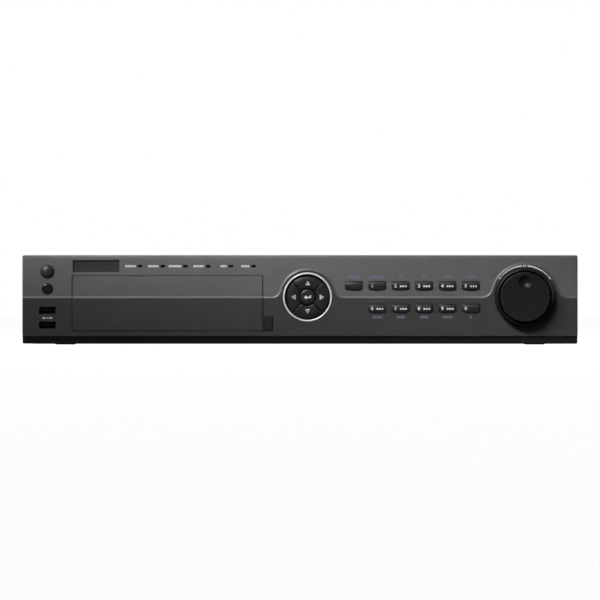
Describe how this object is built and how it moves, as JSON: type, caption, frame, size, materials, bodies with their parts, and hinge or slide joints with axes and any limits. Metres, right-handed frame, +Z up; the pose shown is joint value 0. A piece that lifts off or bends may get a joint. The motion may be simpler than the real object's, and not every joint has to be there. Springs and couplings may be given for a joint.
{
  "type": "dvr recorder",
  "caption": "Rack-width digital video recorder with optical drive tray, direction pad, keypad and a jog and shuttle knob in front, video and network sockets behind.",
  "frame": {"origin": "middle of the whole recorder's outline seen from above, on the surface that its feet stand on", "axes": "+X to the right seen from the front, +Y from the front to the back, +Z up"},
  "size_m": [0.445, 0.4144, 0.0718],
  "materials": {
    "bezel": "fine-textured charcoal moulding, satin",
    "fascia": "dark satin moulding",
    "keys": "polished black",
    "knob": "satin black",
    "ring": "bright plated",
    "window": "smoked window",
    "painted_steel": "black powder coat",
    "steel": "plain sheet steel",
    "nickel": "nickel plated",
    "circuit_board": "green solder mask",
    "moulded": "black engineering plastic",
    "rubber": "black rubber",
    "aluminium": "cast and machined",
    "terminal": "green terminal plastic"
  },
  "bodies": {
    "case": {"base_chassis": "painted_steel", "rear_panel": "painted_steel", "top_cover": "painted_steel", "front_bezel": "bezel", "lower_fascia": "fascia", "name_plate": "fascia", "led_light_pipe": "window", "ir_window": "window", "nav_ring": "ring", "usb_port_upper": "nickel", "usb_port_lower": "nickel", "keypad_board": "circuit_board", "left_control_board": "circuit_board", "jog_encoder": "moulded", "drive_case": "steel", "hdd_bracket": "steel", "hard_disk_1": "aluminium", "hard_disk_2": "aluminium", "main_board": "circuit_board", "heat_sink": "aluminium", "power_supply": "steel", "fan_frame": "moulded", "video_connector_block": "nickel", "audio_connector_block": "nickel", "vga_connector": "nickel", "hdmi_port": "nickel", "network_port": "nickel", "rear_usb_port": "nickel", "alarm_terminal_block": "terminal", "power_inlet": "moulded", "power_switch_housing": "moulded", "foot_front_left": "rubber", "foot_front_right": "rubber", "foot_rear_left": "rubber", "foot_rear_right": "rubber", "ground_screw": "nickel"},
    "tray": {"disc_tray": "moulded", "tray_front_cover": "fascia"},
    "eject": {"eject_button": "keys"},
    "power": {"power_button": "knob"},
    "nav_up": {"nav_up_key": "keys"},
    "nav_down": {"nav_down_key": "keys"},
    "nav_left": {"nav_left_key": "keys"},
    "nav_right": {"nav_right_key": "keys"},
    "enter": {"enter_key": "keys"},
    "shuttle": {"shuttle_ring": "knob"},
    "jog": {"jog_dial": "knob"},
    "fan": {"fan_rotor": "moulded"},
    "rocker": {"power_rocker": "moulded"},
    "keypad_function": {"key_function": "keys"},
    "keypad_1": {"key_1": "keys"},
    "keypad_2": {"key_2": "keys"},
    "keypad_3": {"key_3": "keys"},
    "keypad_4": {"key_4": "keys"},
    "keypad_5": {"key_5": "keys"},
    "keypad_6": {"key_6": "keys"},
    "keypad_7": {"key_7": "keys"},
    "keypad_8": {"key_8": "keys"},
    "keypad_9": {"key_9": "keys"},
    "keypad_0": {"key_0": "keys"}
  },
  "joints": [
    {"name": "tray_slide", "type": "slide", "parent": "case", "child": "tray", "axis": [0, -1, 0], "range_m": [0, 0.13]},
    {"name": "eject_press", "type": "slide", "parent": "case", "child": "eject", "axis": [0, 1, 0], "range_m": [0, 0.0015], "stiffness_N_per_m": 500, "springref_m": -0.0008},
    {"name": "power_press", "type": "slide", "parent": "case", "child": "power", "axis": [0, 1, 0], "range_m": [0, 0.0012], "stiffness_N_per_m": 500, "springref_m": -0.0008},
    {"name": "nav_up_press", "type": "slide", "parent": "case", "child": "nav_up", "axis": [0, 1, 0], "range_m": [0, 0.001], "stiffness_N_per_m": 400, "springref_m": -0.0008},
    {"name": "nav_down_press", "type": "slide", "parent": "case", "child": "nav_down", "axis": [0, 1, 0], "range_m": [0, 0.001], "stiffness_N_per_m": 400, "springref_m": -0.0008},
    {"name": "nav_left_press", "type": "slide", "parent": "case", "child": "nav_left", "axis": [0, 1, 0], "range_m": [0, 0.001], "stiffness_N_per_m": 400, "springref_m": -0.0008},
    {"name": "nav_right_press", "type": "slide", "parent": "case", "child": "nav_right", "axis": [0, 1, 0], "range_m": [0, 0.001], "stiffness_N_per_m": 400, "springref_m": -0.0008},
    {"name": "enter_press", "type": "slide", "parent": "case", "child": "enter", "axis": [0, 1, 0], "range_m": [0, 0.001], "stiffness_N_per_m": 400, "springref_m": -0.0008},
    {"name": "key_function_press", "type": "slide", "parent": "case", "child": "keypad_function", "axis": [0, 1, 0], "range_m": [0, 0.001], "stiffness_N_per_m": 400, "springref_m": -0.0008},
    {"name": "key_1_press", "type": "slide", "parent": "case", "child": "keypad_1", "axis": [0, 1, 0], "range_m": [0, 0.001], "stiffness_N_per_m": 400, "springref_m": -0.0008},
    {"name": "key_2_press", "type": "slide", "parent": "case", "child": "keypad_2", "axis": [0, 1, 0], "range_m": [0, 0.001], "stiffness_N_per_m": 400, "springref_m": -0.0008},
    {"name": "key_3_press", "type": "slide", "parent": "case", "child": "keypad_3", "axis": [0, 1, 0], "range_m": [0, 0.001], "stiffness_N_per_m": 400, "springref_m": -0.0008},
    {"name": "key_4_press", "type": "slide", "parent": "case", "child": "keypad_4", "axis": [0, 1, 0], "range_m": [0, 0.001], "stiffness_N_per_m": 400, "springref_m": -0.0008},
    {"name": "key_5_press", "type": "slide", "parent": "case", "child": "keypad_5", "axis": [0, 1, 0], "range_m": [0, 0.001], "stiffness_N_per_m": 400, "springref_m": -0.0008},
    {"name": "key_6_press", "type": "slide", "parent": "case", "child": "keypad_6", "axis": [0, 1, 0], "range_m": [0, 0.001], "stiffness_N_per_m": 400, "springref_m": -0.0008},
    {"name": "key_7_press", "type": "slide", "parent": "case", "child": "keypad_7", "axis": [0, 1, 0], "range_m": [0, 0.001], "stiffness_N_per_m": 400, "springref_m": -0.0008},
    {"name": "key_8_press", "type": "slide", "parent": "case", "child": "keypad_8", "axis": [0, 1, 0], "range_m": [0, 0.001], "stiffness_N_per_m": 400, "springref_m": -0.0008},
    {"name": "key_9_press", "type": "slide", "parent": "case", "child": "keypad_9", "axis": [0, 1, 0], "range_m": [0, 0.001], "stiffness_N_per_m": 400, "springref_m": -0.0008},
    {"name": "key_0_press", "type": "slide", "parent": "case", "child": "keypad_0", "axis": [0, 1, 0], "range_m": [0, 0.001], "stiffness_N_per_m": 400, "springref_m": -0.0008},
    {"name": "shuttle_turn", "type": "hinge", "parent": "case", "child": "shuttle", "pos_m": [0.1801, -0.19485, 0.0382], "axis": [0, 1, 0], "range_deg": [-60, 60], "stiffness_Nm_per_rad": 0.03},
    {"name": "jog_turn", "type": "hinge", "parent": "case", "child": "jog", "pos_m": [0.1801, -0.19485, 0.0382], "axis": [0, 1, 0], "continuous": true},
    {"name": "fan_spin", "type": "hinge", "parent": "case", "child": "fan", "pos_m": [-0.108, 0.18515, 0.0388], "axis": [0, 1, 0], "continuous": true},
    {"name": "rocker_tip", "type": "hinge", "parent": "case", "child": "rocker", "pos_m": [-0.152, 0.19385, 0.0388], "axis": [-1, 0, 0], "range_deg": [0, 18]}
  ]
}
